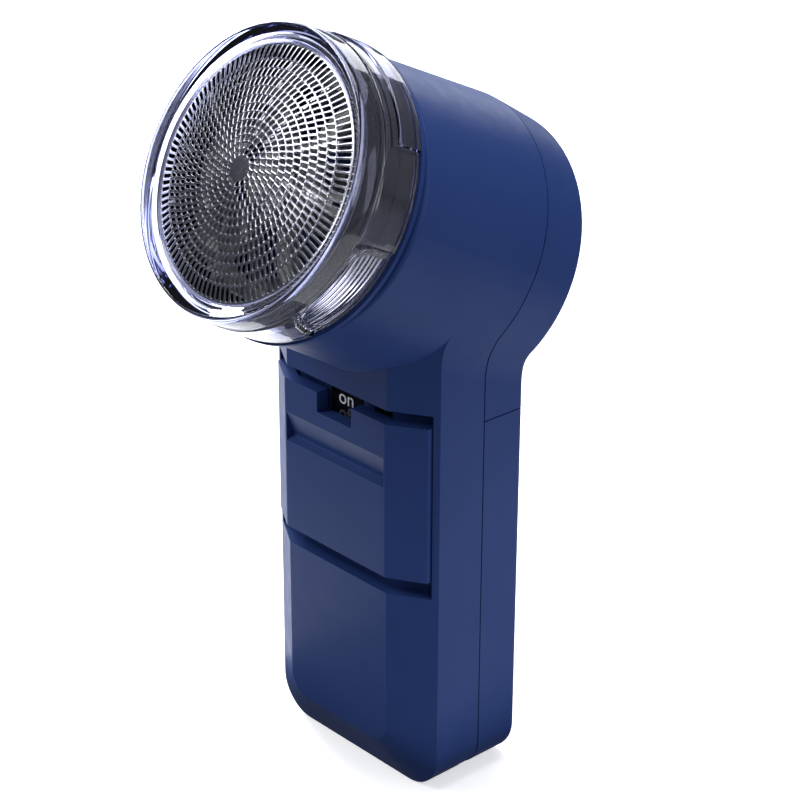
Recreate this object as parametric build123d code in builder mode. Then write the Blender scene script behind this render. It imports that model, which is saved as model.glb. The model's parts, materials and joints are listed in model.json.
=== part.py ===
from build123d import *
import math
import os

# Compact rotary shaver. Millimetres. +Z runs up the handle, the front faces -Y, and the
# origin is on the bottom face. The head leans forward: its own axis is head_plane's normal,
# and a "station" is a distance along that axis.

# --- handle -------------------------------------------------------------------------------
handle_half = 17.5        # half width of the handle
face_half = 10.8          # half width of the flat front face
face_y = -12.2            # front face
chamfer_y = -8.2          # where the side bevels meet the side walls
rear_y = 7.95
bottom_bevel_z = 7.1      # lower edge of the front face
bevel_rise = 0.26         # the inside of the lower bevel sits higher by this share of inset
corner_r = 6.0            # bottom corners of the handle
face_corner_r = 3.6       # bottom corners of the front face
wall = 1.5
edge_r = 0.5              # front face and head front edges
rear_round = 0.9
handle_top_z = 75.0       # the handle prism ends here, well inside the head

# --- head ---------------------------------------------------------------------------------
head_tilt = 28.0          # the head axis rises this much above straight forward
head_z = 82.7             # the head axis crosses x = 0, y = 0 at this height
head_r = 22.0             # at the seam
head_front_v = 20.5       # half height at the front, where the draft has narrowed it
head_back_r = 21.4
head_back = -14.6
head_front = 19.6
neck_r = 9.7              # concave blend from the handle sides to the round head
neck_front = 10.0
neck_tail = 8.0           # how far the neck outline runs on behind the head
neck_sunk = 0.03          # keeps the neck outline just inside the drum
neck_low_z = 50.0         # the neck's rounded rim starts above this
neck_rear_facing = 0.85   # least Y of a rear face's normal
back_bend_r = 7.0

# --- seams --------------------------------------------------------------------------------
seam_y = 0.1              # parting plane in the handle
seam_s = -5.34            # parting plane in the head
seam_gap = 0.2
seam_bend_r = 2.0
cover_top_z = 58.3        # cross line between battery cover and rear head cover
lip_t = 1.05              # lip inside the head seam
lip_gap = 0.25
lip_s = (-9.34, -3.74)
lip_from_z = 72.7

# --- cells and contacts -------------------------------------------------------------------
cell_r = 7.25             # AA cell radius
cell_len = 49.5           # AA can, without its nub
cell_edge = 0.5
cell_x = 7.5              # the two cells stand side by side
cell_y = -1.6
cell_z = 4.3
nub_r = 2.6
nub_len = 1.0
strip_t = 0.3             # contact strip
floor_strip_z = 1.8
cell_spring_r = 3.4
cell_spring_wire = 0.25
spring_clear = 0.02
bulkhead_z = (56.3, 57.3)
bulkhead_half = 14.85
bulkhead_back_y = 4.1
tab_gap = 0.2             # slot clearance round the tab in the bulkhead
tab_half = 2.0
tab_from_cell = 4.15      # the tab stands this far in front of the cell's middle
plate_half = (4.5, 4.0)
dimple_r = 1.8
bridge_half = 9.6
lead_tab = (2.0, 5.2)     # reach sideways and back of the soldering tab
floor_strip_half = (12.0, 3.5)

# --- switch -------------------------------------------------------------------------------
recess_z = (32.8, 61.6)   # switch recess, low and high edges
recess_depth = 2.3
recess_half = 16.6
floor_wall = 0.85
floor_bite = 0.6          # the recess floor starts this far inside the outer face
panel_z = (35.6, 59.7)
panel_half = 16.3
panel_proud = 0.4
panel_inset = 1.7
panel_edge_r = 0.8
notch_half = 3.7
notch_z = 56.6
scoop_half = 10.6
scoop_z = (49.6, 50.6, 54.4)
scoop_depth = (-0.3, 1.15, -0.02)
scoop_r = 0.45
arm_x = 7.6
arm_z = (57.9, 59.4)
arm_half = 1.5
arm_back_y = -7.3
foot_half = 2.3
foot_z = (57.7, 59.6)
foot_y = (-7.9, -6.5)
arm_slot_half = 1.9
arm_slot_z = (57.5, 61.3)
wiper_path = [(-6.36, 58.0), (-5.9, 58.9), (-5.9, 60.6), (-6.2, 61.2)]
wiper_bend_r = 0.4
wiper_t = 0.24
contact_y = (-5.25, -4.85)
contact_half = 0.7
contact_x = 1.3           # each fixed contact stands this far beside the arm
contact_z = (57.6, 64.5)
contact_pad_z = (61.9, 64.5)
contact_pad_t = 0.4
pad_half = 3.3
pad_z = (55.2, 61.3)
pad_t = 0.25

# --- case hardware ------------------------------------------------------------------------
case_screw_spots = [(13.3, 62.7), (-13.3, 62.7)]
case_screw_seat = 2.3     # depth of the screw head's seat behind the rear face
case_post_r = 2.4
case_post_len = 7.5
case_pilot = (0.95, 6.5)  # radius and depth
cover_post_r = 3.1
cover_bore_r = 2.2
cover_hole_r = 1.3
case_screw_head = (1.9, 1.2)
case_screw_shank = (0.9, 10.5)
cross_half = (1.2, 0.25)
groove_x = 16.55
groove_depth = 0.8
groove_y = (-2.2, -1.2)
groove_top_z = 57.5
foot_slot_x = 14.85
foot_slot_y = (-2.2, 0.2)
foot_slot_z = (-1.4, 4.6)
rail_x = (15.15, 15.75)
rail_y = (-2.0, 1.2)
rail_z = (5.0, 55.0)
rail_hook = (16.3, -2.0, -1.4)
rail_root = (16.4, 0.3, 1.2)
tongue_half = 2.3
tongue_z = (57.0, 59.8)
tongue_root_top = 58.2
tongue_t = 1.2
grip_half = 6.0
grip_width = 0.8
grip_pitch = 1.8
grip_count = 5
grip_top_z = 47.5

# --- motor --------------------------------------------------------------------------------
motor_r = 12.0
motor_s = (-9.5, 8.5)
can_t = 0.8
shaft_r = 1.0
shaft_s = (-10.7, 19.0)
bush_r = 2.5
bush_gap = 0.04
bell_t = (1.6, 0.8)       # end bell behind and inside the can
magnet_r = 8.8
magnet_gap = 9.0
magnet_s = (-8.0, 6.0)
terminal_x = 8.5
terminal_s = (-12.1, -8.2)
terminal_size = (1.4, 0.5)
terminal_hole_r = 1.0
brush_s = (-8.6, -7.3)
brush_arm_x = 5.4
brush_arm = (4.0, 0.4)
brush_pad_x = 3.85
brush_pad = (1.0, 1.6)
bush_out = 1.2
core_s = (-4.5, 4.5)
core_r = 8.4
slot_x = 5.9              # winding slots in the armature core
slot_size = (3.4, 7.0)
slot_mouth = (2.0, 1.6)
coil_size = (3.0, 6.6)
coil_r = (4.4, 7.4)
coil_t = 1.1
commutator_r = 3.2
commutator_s = (-8.4, -6.0)
commutator_cut = (0.8, 0.4)
pole_count = 3

# --- bracket, deck and their screws -------------------------------------------------------
bracket_s = (8.5, 9.9)
bracket_half = (20.2, 19.35)
bracket_cut = (18.0, -12.0)   # opening for the leads: width, and the level it starts below
lug_angles = (50, 110, -50, -110)
lug_at = 18.3
lug_r = 2.3
lug_from = 2.0
lug_pilot = (0.8, 3.5)
lug_hole_r = 1.1
post_angles = (0, 120, 240)
post_at = 14.2
post_r = 2.2
post_pilot_r = 0.8
post_floor = 0.6
motor_screw_x = 8.0
motor_screw_len = 2.8
bracket_screw_len = 5.5
deck_screw_len = 3.2
screw_head = (1.6, 0.9)
screw_cross = (2.56, 0.35, 0.4)
small_shank_r = 0.65
shank_r = 0.75
clear_r = 1.0
hub_hole_r = 2.6
bowl_r = 17.3             # hair chamber
bowl_s = 12.5
deck_floor = 13.9
deck_r = 18.6
deck_top = 23.2
spigot_r = 19.6           # carries the foil frame above the collar
collar_r = 21.3
collar_s = (19.7, 20.4)
seal_r = 4.0
seal_t = 0.8
seal_gap = 0.06

# --- drive hub and inner cutter -----------------------------------------------------------
hub_s = (15.0, 24.6)
hub_half = 1.8
hub_edge = 0.4
hub_flange = (5.0, 16.6)
hub_gap = 0.05
float_spring_s = (16.88, 21.86)   # first and last turn's centre line
float_spring_r = 3.4
float_spring_pitch = 1.7
float_spring_wire = 0.25
carrier_s = (22.2, 24.0)
carrier_r = (13.8, 16.2)
carrier_hub_r = 6.0
spoke_count = 6
spoke_size = (9.5, 2.6)
spoke_at = 10.0
blade_count = 12
blade_t = 0.4
blade_r = (4.2, 15.8)
blade_gap = 0.2           # blade tips under the foil
blade_back = [(13.9, 24.0), (13.4, 27.4), (5.2, 28.4), (4.2, 29.4)]
web_r = (4.6, 7.2)
web_s = (28.6, 29.1)
cap_profile = [(0, 25.8), (2.8, 25.8), (2.8, 24.0), (5.0, 24.0), (4.6, 26.4), (3.0, 27.2),
               (0, 27.4)]

# --- foil and its frame -------------------------------------------------------------------
frame_s = 20.5            # back edge of the clear foil frame
frame_r = 21.4
frame_inner = [(20.1, 20.5), (19.4, 29.3), (19.2, 29.37), (18.4, 28.9)]   # wall, then cone
frame_band = [(21.3, 23.5), (20.95, 26.6), (20.65, 27.1), (20.5, 30.2)]
crest_top = (20.14, 31.05)
crest_inner = (19.7, 30.95)
foil_s = 29.5             # front of the foil's rim
foil_r = 17.7             # visible foil radius
foil_rise = 2.6
foil_t = 0.25
foil_rim_r = 18.25
foil_step = 0.1
retainer_r = (17.4, 18.4)
retainer_s = 23.5

# --- leads --------------------------------------------------------------------------------
lead_r = 0.5
lead_back = 2.4           # leads leave the motor this far behind its can
lead_top_z = 76.0
lead_bend_z = 66.0
negative_end = (8.5, 3.4, 57.35)
negative_bend_r = 18
positive_path = [(-5.0, 3.2, 60.2), (1.5, 0.4, 60.4), (6.3, -4.5, 62.6)]
positive_bend_r = 3.2

# --- values worked out from them ----------------------------------------------------------
far = 60.0                # larger than any half size here
inner_head_r = head_r - wall
inner_y = rear_y - wall
tilt = math.radians(head_tilt)
bevel_dir = Vector(handle_half - face_half, chamfer_y - face_y, 0).normalized()
bevel_out = Vector(bevel_dir.Y, -bevel_dir.X, 0)
bevel_reach = bevel_out.dot(Vector(handle_half, chamfer_y, 0))
dome_r = (foil_r**2 + foil_rise**2) / (2 * foil_rise)
dome_s = foil_s + foil_rise - dome_r
cell_top = cell_z + cell_len + nub_len
plate_z = bulkhead_z[0] - strip_t   # underside of the strips below the bulkhead
tab_y = cell_y - tab_from_cell

head_plane = Plane(origin=(0, 0, head_z), x_dir=(1, 0, 0),
                   z_dir=(0, -math.cos(tilt), math.sin(tilt)))
head_axis = Axis((0, 0, 0), head_plane.z_dir)


def station(s):
    """Plane across the head axis at distance s along it."""
    return head_plane.offset(s)


def polar(radius, degrees):
    """Point on the head plane, with the angle counted from the top towards +X."""
    angle = math.radians(degrees)
    return (radius * math.sin(angle), radius * math.cos(angle))


def block(xs, ys, zs):
    """Box between two limits along each axis."""
    lows, highs = zip(*(sorted(limits) for limits in (xs, ys, zs)))
    middle = tuple((low + high) / 2 for low, high in zip(lows, highs))
    with BuildPart() as box:
        with Locations(middle):
            Box(*(high - low for low, high in zip(lows, highs)))
    return box.part


def bars(radius, y_from, y_to, spots):
    """Round bars between two depths, at points of the front view."""
    with BuildPart() as rods:
        with BuildSketch(Plane.XZ.offset(-y_from)):
            with Locations(*spots):
                Circle(radius)
        extrude(amount=y_from - y_to)
    return rods.part


def head_cylinder(radius, s_from, s_to, x=0.0, v=0.0):
    """Round solid along the head axis between two stations."""
    with BuildPart() as round_part:
        with BuildSketch(station(s_from)):
            with Locations((x, v)):
                Circle(radius)
        extrude(amount=s_to - s_from)
    return round_part.part


def head_ring(outer, inner, s_from, s_to):
    """Ring about the head axis between two stations."""
    with BuildPart() as ring:
        with BuildSketch(station(s_from)):
            Circle(outer)
            Circle(inner, mode=Mode.SUBTRACT)
        extrude(amount=s_to - s_from)
    return ring.part


def turned(points):
    """Solid turned about the head axis from (radius, station) points."""
    with BuildPart() as solid:
        with BuildSketch(Plane.XZ):
            with BuildLine():
                Polyline(*points, close=True)
            make_face()
        revolve(axis=Axis.Z)
    return head_plane.from_local_coords(solid.part)


def coil_spring(plane, height, radius, wire, pitch):
    """Compression spring whose helix rises from a plane."""
    with BuildPart() as spring:
        with BuildLine():
            line = Helix(pitch, height, radius)
        with BuildSketch(Plane(origin=line @ 0, z_dir=line % 0)):
            Circle(wire)
        sweep()
    return plane.from_local_coords(spring.part)


def bevel_at(x, inset):
    """Y of the side bevel, moved inward by inset, at distance x from the middle."""
    return (bevel_reach - inset - bevel_out.X * x) / bevel_out.Y


def front_section(inset, half, back_y):
    """Points of a slice through the handle whose front and bevels are moved inward."""
    front_y = face_y + inset
    corner_x = (bevel_reach - inset - bevel_out.Y * front_y) / bevel_out.X
    right = [(corner_x, front_y), (half, bevel_at(half, inset)), (half, back_y)]
    left = [(-x, y) for x, y in reversed(right)]
    return right + left


def front_layer(outer_inset, inner_inset, half, z_from, z_to):
    """Layer that follows the handle's front and bevels between two depths."""
    with BuildPart() as layer:
        with BuildSketch(Plane.XY.offset(z_from)):
            Polygon(*front_section(outer_inset, half, 0), align=None)
            Polygon(*front_section(inner_inset, half + wall, 0), align=None,
                    mode=Mode.SUBTRACT)
        extrude(amount=z_to - z_from)
    return layer.part


def in_front_of(back_y, back_s, bend_r):
    """Block in front of a bent surface that follows the handle, then the leaning head."""
    bend_z = head_z + (back_s + back_y * math.cos(tilt)) / math.sin(tilt)
    top = (back_y + far * math.sin(tilt), bend_z + far * math.cos(tilt))
    with BuildPart() as solid:
        with BuildSketch(Plane.YZ.offset(-far / 2)):
            with BuildLine():
                path = FilletPolyline((back_y, -corner_r), (back_y, bend_z), top, radius=bend_r)
                Polyline(path @ 1, (-far, top[1]), (-far, -corner_r), path @ 0)
            make_face()
        extrude(amount=far)
    return solid.part


def handle_outline(y, half, bottom, radius):
    """Front view of the handle at depth y, with rounded bottom corners."""
    with BuildSketch(Plane.XZ.offset(-y)) as outline:
        with Locations((0, (bottom + handle_top_z) / 2)):
            Rectangle(2 * half, handle_top_z - bottom)
        fillet(outline.vertices().group_by(Axis.Y)[0], radius)
    return outline.sketch


def handle_body(inset, round_r):
    """Handle with its beveled front, moved inward by inset."""
    half = handle_half - inset
    back_y = rear_y - inset
    front_y = face_y + inset
    shoulder_y = bevel_at(half, inset)
    front_half = (bevel_reach - inset - bevel_out.Y * front_y) / bevel_out.X
    with BuildPart() as handle:
        extrude(handle_outline(back_y, half, inset, corner_r - inset),
                amount=back_y - shoulder_y)
        if round_r:
            rim = handle.faces().sort_by(Axis.Y)[-1].edges()
            fillet([e for e in rim if e.center().Z < handle_top_z - 1], round_r)
        loft([handle_outline(shoulder_y, half, inset, corner_r - inset),
              handle_outline(front_y, front_half, bottom_bevel_z + bevel_rise * inset,
                             face_corner_r - inset / 2)])
        if round_r:
            front_rim = handle.faces().sort_by(Axis.Y)[0].edges()
            fillet([e for e in front_rim if e.center().Z < handle_top_z - 1], edge_r)
    return handle.part


def head_half(inset, s):
    """Half width and half height of the drafted head at a station."""
    if s <= seam_s:
        share = (s - head_back) / (seam_s - head_back)
        radius = head_back_r + (head_r - head_back_r) * share - inset
        return radius, radius
    share = (s - seam_s) / (head_front - seam_s)
    return head_r - inset, head_r + (head_front_v - head_r) * share - inset


def head_drum(inset, back_s, front_s, round_r=0):
    """Drum of the head between two stations, drafted both ways from the seam."""
    with BuildPart() as drum:
        for s in sorted({back_s, seam_s, front_s}):
            with BuildSketch(station(s)):
                Ellipse(*head_half(inset, s))
        loft(ruled=True)
        if round_r:
            fillet(drum.faces().sort_by(head_axis)[-1].edges(), edge_r)
            fillet(drum.faces().sort_by(head_axis)[0].edges(), round_r)
    return drum.part


def neck_body(inset, round_r):
    """Keyhole outline that blends the handle's sides into the head."""
    half = handle_half - inset
    back_y = rear_y - inset
    back_s = head_back + inset
    with BuildPart() as neck:
        for s in (back_s - neck_tail, seam_s, neck_front):
            with BuildSketch(station(s)):
                Ellipse(*head_half(inset + neck_sunk, s))
                with Locations((0, -head_r)):
                    Rectangle(2 * half, head_r)
                fillet(vertices().group_by(Axis.Y)[1], neck_r + inset)
        loft(ruled=True)
        add(in_front_of(back_y, back_s, back_bend_r), mode=Mode.INTERSECT)
        if round_r:
            rear = [f for f in neck.faces()
                    if f.normal_at().Y > neck_rear_facing and f.center().Z > neck_low_z]
            rim = [e for f in rear for e in f.edges()
                   if e.geom_type != GeomType.LINE or abs(e.tangent_at(0.5).X) < 0.5]
            fillet(rim, round_r)
        with BuildSketch(Plane.XY):
            Polygon(*front_section(inset, far, far), align=None)
        extrude(amount=2 * far, mode=Mode.INTERSECT)
    return neck.part


def case_envelope(inset, round_r=0):
    """Solid that fills the case outline, moved inward by inset."""
    with BuildPart() as envelope:
        add(handle_body(inset, round_r))
        add(neck_body(inset, round_r))
        add(head_drum(inset, head_back + inset, head_front, round_r))
    return envelope.part


def save(part, name):
    part.label = name
    export_step(part, f"parts/{name}.step")


os.makedirs("parts", exist_ok=True)
case_solid = case_envelope(0, rear_round)
hollow = case_envelope(wall)

# --- front case ---------------------------------------------------------------------------
with BuildPart() as front_case:
    add(case_solid)
    add(hollow, mode=Mode.SUBTRACT)
    add(head_drum(wall, seam_s, head_front + wall), mode=Mode.SUBTRACT)
    # recess for the switch panel, with its own floor behind it
    add(front_layer(floor_bite, recess_depth + floor_wall, recess_half + seam_gap,
                    recess_z[0] - wall, recess_z[1] + wall))
    add(front_layer(-wall, recess_depth, recess_half, *recess_z), mode=Mode.SUBTRACT)
    # screw posts for the rear head cover
    add(bars(case_post_r, seam_y, seam_y - case_post_len, case_screw_spots))
    add(bars(case_pilot[0], seam_y, seam_y - case_pilot[1], case_screw_spots),
        mode=Mode.SUBTRACT)
    # lugs that carry the motor bracket
    for angle in lug_angles:
        x, v = polar(lug_at, angle)
        add(head_cylinder(lug_r, lug_from, bracket_s[0], x, v))
        add(head_cylinder(lug_pilot[0], lug_pilot[1], bracket_s[1], x, v), mode=Mode.SUBTRACT)
    # slot for the switch arm
    add(block((arm_x - arm_slot_half, arm_x + arm_slot_half), (face_y, arm_back_y), arm_slot_z),
        mode=Mode.SUBTRACT)
    # grooves and bottom slots for the battery cover's rails
    for side in (-1, 1):
        add(block((side * (groove_x - groove_depth), side * groove_x), groove_y,
                  (foot_slot_z[0], groove_top_z)), mode=Mode.SUBTRACT)
        add(block((side * foot_slot_x, side * groove_x), foot_slot_y, foot_slot_z),
            mode=Mode.SUBTRACT)
    add(in_front_of(seam_y, seam_s, seam_bend_r), mode=Mode.INTERSECT)
save(front_case.part, "front_case")

# --- rear head cover and battery cover ----------------------------------------------------
front_block = in_front_of(seam_y + seam_gap, seam_s - seam_gap, seam_bend_r)
screw_seat_y = rear_y - case_screw_seat

with BuildPart() as rear_head_cover:
    add(case_solid)
    add(hollow, mode=Mode.SUBTRACT)
    add(bars(cover_post_r, rear_y - edge_r, 0, case_screw_spots))
    add(bars(cover_bore_r, rear_y + wall, screw_seat_y, case_screw_spots), mode=Mode.SUBTRACT)
    add(bars(cover_hole_r, rear_y + wall, -wall, case_screw_spots), mode=Mode.SUBTRACT)
    add(front_block, mode=Mode.SUBTRACT)
    split(bisect_by=Plane.XY.offset(cover_top_z + seam_gap), keep=Keep.TOP)
    # inner lip that keeps the head seam closed
    with BuildPart(mode=Mode.PRIVATE) as lip:
        add(head_ring(inner_head_r - lip_gap, inner_head_r - lip_gap - lip_t, *lip_s))
        add(head_ring(inner_head_r, inner_head_r - lip_gap - lip_t, lip_s[0], seam_s - edge_r))
        add(block((-far, far), (-far, far), (0, lip_from_z)), mode=Mode.SUBTRACT)
    add(lip.part)
save(rear_head_cover.part, "rear_head_cover")

with BuildPart() as battery_cover:
    add(case_solid)
    add(hollow, mode=Mode.SUBTRACT)
    add(front_block, mode=Mode.SUBTRACT)
    split(bisect_by=Plane.XY.offset(cover_top_z), keep=Keep.BOTTOM)
    for side in (-1, 1):
        add(block((side * rail_x[0], side * rail_x[1]), rail_y, rail_z))
        for reach, *depths in (rail_hook, rail_root):
            add(block((side * rail_x[0], side * reach), depths, rail_z))
    # tongue that tucks under the rear head cover
    tongue_y = inner_y - wall / 2
    add(block((-tongue_half, tongue_half), (tongue_y - tongue_t / 2, tongue_y + tongue_t / 2),
              tongue_z))
    add(block((-tongue_half, tongue_half), (tongue_y, inner_y + wall / 2),
              (tongue_z[0], tongue_root_top)))
    # thumb grip: shallow cross grooves in the rear face
    with Locations(*[(0, rear_y, grip_top_z - grip_pitch * i) for i in range(grip_count)]):
        Box(2 * grip_half, grip_width, grip_width, mode=Mode.SUBTRACT)
save(battery_cover.part, "battery_cover")

with BuildPart() as case_screws:
    head_back_y = screw_seat_y + case_screw_head[1]
    add(bars(case_screw_head[0], head_back_y, screw_seat_y, case_screw_spots))
    add(bars(case_screw_shank[0], screw_seat_y, screw_seat_y - case_screw_shank[1],
             case_screw_spots))
    for x, z in case_screw_spots:
        for half_x, half_z in (cross_half, reversed(cross_half)):
            add(block((x - half_x, x + half_x), (screw_seat_y + case_screw_head[1] / 2, rear_y),
                      (z - half_z, z + half_z)), mode=Mode.SUBTRACT)
save(case_screws.part, "case_screws")

# --- switch -------------------------------------------------------------------------------
panel_face = face_y - panel_proud
panel_back = face_y + panel_inset

with BuildPart() as switch_panel:
    add(front_layer(-panel_proud, panel_inset, panel_half, *panel_z))
    fillet(switch_panel.edges().filter_by(Axis.Z).group_by(Axis.Y)[0], panel_edge_r)
    add(block((-notch_half, notch_half), (face_y - wall, 0), (notch_z, far * 2)),
        mode=Mode.SUBTRACT)
    # finger scoop: a slope that runs in, ending on a small ledge
    scoop = [(panel_face + depth, z) for depth, z in zip(scoop_depth, scoop_z)]
    with BuildSketch(Plane.YZ):
        with BuildLine():
            path = FilletPolyline(*scoop, radius=scoop_r)
            Polyline(path @ 1, (face_y - wall, scoop_z[2]), (face_y - wall, scoop_z[0]),
                     path @ 0)
        make_face()
    extrude(amount=scoop_half, both=True, mode=Mode.SUBTRACT)
save(switch_panel.part, "switch_panel")

with BuildPart() as switch_slider:
    add(block((arm_x - arm_half, arm_x + arm_half), (panel_back, arm_back_y), arm_z))
    add(block((arm_x - foot_half, arm_x + foot_half), foot_y, foot_z))
save(switch_slider.part, "switch_slider")

with BuildPart() as switch_wiper:
    with BuildSketch(Plane.YZ.offset(arm_x - arm_half)):
        with BuildLine():
            FilletPolyline(*wiper_path, radius=wiper_bend_r)
            offset(amount=wiper_t / 2, side=Side.BOTH)
        make_face()
    extrude(amount=2 * arm_half)
save(switch_wiper.part, "switch_wiper")

with BuildPart() as switch_contacts:
    for x in (arm_x - contact_x, arm_x + contact_x):
        sides = (x - contact_half, x + contact_half)
        add(block(sides, contact_y, contact_z))
        add(block(sides, (contact_y[0] - contact_pad_t, contact_y[0]), contact_pad_z))
save(switch_contacts.part, "switch_contacts")

with BuildPart() as switch_legend:
    floor_y = face_y + recess_depth
    add(block((-pad_half, pad_half), (floor_y - pad_t, floor_y), pad_z))
save(switch_legend.part, "switch_legend")

# --- batteries and contacts ---------------------------------------------------------------
with BuildPart() as battery_bulkhead:
    with BuildSketch(Plane.XY.offset(bulkhead_z[0])):
        Polygon(*front_section(recess_depth + floor_wall + tab_gap, bulkhead_half,
                               bulkhead_back_y), align=None)
        with Locations((-cell_x, tab_y)):
            Rectangle(2 * (tab_half + tab_gap), strip_t + 2 * tab_gap, mode=Mode.SUBTRACT)
    extrude(amount=bulkhead_z[1] - bulkhead_z[0])
save(battery_bulkhead.part, "battery_bulkhead")


def battery(x, nub_up):
    """AA cell standing upright with its nub up or down."""
    can_z = cell_z if nub_up else cell_z + nub_len
    nub_z = cell_z + cell_len if nub_up else cell_z
    with BuildPart() as cell:
        with BuildSketch(Plane((x, cell_y, can_z))):
            Circle(cell_r)
        extrude(amount=cell_len)
        fillet(cell.edges().filter_by(GeomType.CIRCLE), cell_edge)
        with BuildSketch(Plane((x, cell_y, nub_z))):
            Circle(nub_r)
        extrude(amount=nub_len)
    return cell.part


save(battery(-cell_x, True), "battery_left")
save(battery(cell_x, False), "battery_right")

with BuildPart() as upper_contact:
    strip_z = (plate_z, bulkhead_z[0])
    bridge_y = contact_y[0]
    add(block((-cell_x - plate_half[0], -cell_x + plate_half[0]),
              (cell_y - plate_half[1], cell_y + plate_half[1]), strip_z))
    with BuildSketch(Plane((-cell_x, cell_y, cell_top))):
        Circle(dimple_r)
    extrude(amount=plate_z + strip_t / 2 - cell_top)
    # tab through the bulkhead, joined to the switch by a bridge above it
    add(block((-cell_x - tab_half, -cell_x + tab_half),
              (tab_y - strip_t / 2, tab_y + strip_t / 2), (plate_z, bulkhead_z[1] + strip_t)))
    add(block((-bridge_half, bridge_half), (tab_y - strip_t / 2, bridge_y),
              (bulkhead_z[1], bulkhead_z[1] + strip_t)))
save(upper_contact.part, "upper_contact")

with BuildPart() as upper_spring_plate:
    add(block((cell_x - plate_half[0], cell_x + plate_half[0]),
              (cell_y - plate_half[1], cell_y + plate_half[1]), strip_z))
    add(block((cell_x, cell_x + lead_tab[0]), (cell_y, lead_tab[1]), strip_z))
save(upper_spring_plate.part, "upper_spring_plate")

with BuildPart() as lower_contact:
    strip_top = floor_strip_z + strip_t
    add(block((-floor_strip_half[0], floor_strip_half[0]),
              (cell_y - floor_strip_half[1], cell_y + floor_strip_half[1]),
              (floor_strip_z, strip_top)))
    add(block((cell_x - nub_r, cell_x + nub_r), (cell_y - nub_r, cell_y + nub_r),
              (strip_top, cell_z)))
save(lower_contact.part, "lower_contact")


def cell_spring(x, bottom, top, turns):
    """Compression spring between a contact strip and a cell."""
    rise = top - bottom - 2 * (cell_spring_wire + spring_clear)
    base = Plane((x, cell_y, bottom + cell_spring_wire + spring_clear))
    return coil_spring(base, rise, cell_spring_r, cell_spring_wire, rise / turns)


save(cell_spring(cell_x, cell_top, plate_z, 1), "upper_spring")
save(cell_spring(-cell_x, strip_top, cell_z, 2), "lower_spring")

# --- motor --------------------------------------------------------------------------------
motor_back, motor_front = motor_s
motor_screw_spots = [(-motor_screw_x, 0), (motor_screw_x, 0)]

with BuildPart() as motor_can:
    add(head_cylinder(motor_r, *motor_s))
    add(head_cylinder(motor_r - can_t, motor_back - 1, motor_front - can_t), mode=Mode.SUBTRACT)
    add(head_cylinder(bush_r, motor_front - 2 * can_t, motor_front + 1), mode=Mode.SUBTRACT)
    for spot in motor_screw_spots:
        add(head_cylinder(small_shank_r, motor_front - 2 * can_t, motor_front + 1, *spot),
            mode=Mode.SUBTRACT)
save(motor_can.part, "motor_can")

with BuildPart() as motor_magnets:
    add(head_ring(motor_r - can_t, magnet_r, *magnet_s))
    with BuildSketch(station(magnet_s[0])):
        Rectangle(magnet_gap, 2 * motor_r)
    extrude(amount=magnet_s[1] - magnet_s[0], mode=Mode.SUBTRACT)
save(motor_magnets.part, "motor_magnets")

with BuildPart() as motor_end_bell:
    bell_s = (motor_back - bell_t[0], motor_back + bell_t[1])
    add(head_cylinder(motor_r - can_t, motor_back, bell_s[1]))
    add(head_cylinder(motor_r, bell_s[0], motor_back))
    add(head_cylinder(bush_r, *bell_s), mode=Mode.SUBTRACT)
    for x in (-terminal_x, terminal_x):
        add(head_cylinder(terminal_hole_r, *bell_s, x), mode=Mode.SUBTRACT)
save(motor_end_bell.part, "motor_end_bell")

with BuildPart() as motor_bushes:
    add(head_ring(bush_r, shaft_r + bush_gap, *bell_s))
    add(head_ring(bush_r, shaft_r + bush_gap, motor_front - can_t, motor_front + bush_out))
save(motor_bushes.part, "motor_bushes")

with BuildPart() as motor_terminals:
    with BuildSketch(station(terminal_s[0])):
        with Locations((-terminal_x, 0), (terminal_x, 0)):
            Rectangle(*terminal_size)
    extrude(amount=terminal_s[1] - terminal_s[0])
save(motor_terminals.part, "motor_terminals")

with BuildPart() as motor_brushes:
    with BuildSketch(station(brush_s[0])):
        for side in (-1, 1):
            with Locations((side * brush_arm_x, 0)):
                Rectangle(*brush_arm)
            with Locations((side * brush_pad_x, 0)):
                Rectangle(*brush_pad)
    extrude(amount=brush_s[1] - brush_s[0])
save(motor_brushes.part, "motor_brushes")

with BuildPart() as motor_shaft:
    add(head_cylinder(shaft_r, *shaft_s))
save(motor_shaft.part, "motor_shaft")

with BuildPart() as armature_core:
    with BuildSketch(station(core_s[0])):
        Circle(core_r)
        with PolarLocations(0, pole_count):
            with Locations((slot_x, 0)):
                Rectangle(*slot_size, mode=Mode.SUBTRACT)
            with Locations((core_r, 0)):
                Rectangle(*slot_mouth, mode=Mode.SUBTRACT)
        Circle(shaft_r, mode=Mode.SUBTRACT)
    extrude(amount=core_s[1] - core_s[0])
save(armature_core.part, "armature_core")

with BuildPart() as armature_windings:
    for s in (core_s[0] - coil_t, core_s[1]):
        add(head_ring(coil_r[1], coil_r[0], s, s + coil_t))
    with BuildSketch(station(core_s[0] - coil_t / 2)):
        with PolarLocations(0, pole_count):
            with Locations((slot_x, 0)):
                Rectangle(*coil_size)
    extrude(amount=core_s[1] - core_s[0] + coil_t)
save(armature_windings.part, "armature_windings")

with BuildPart() as commutator:
    with BuildSketch(station(commutator_s[0])):
        Circle(commutator_r)
        Circle(shaft_r, mode=Mode.SUBTRACT)
        with PolarLocations(0, pole_count):
            with Locations((commutator_r, 0)):
                Rectangle(*commutator_cut, mode=Mode.SUBTRACT)
    extrude(amount=commutator_s[1] - commutator_s[0])
save(commutator.part, "commutator")

# --- motor bracket, deck and their screws -------------------------------------------------
lug_spots = [polar(lug_at, angle) for angle in lug_angles]
post_spots = [polar(post_at, angle) for angle in post_angles]
bracket_back, bracket_front = bracket_s

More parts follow.
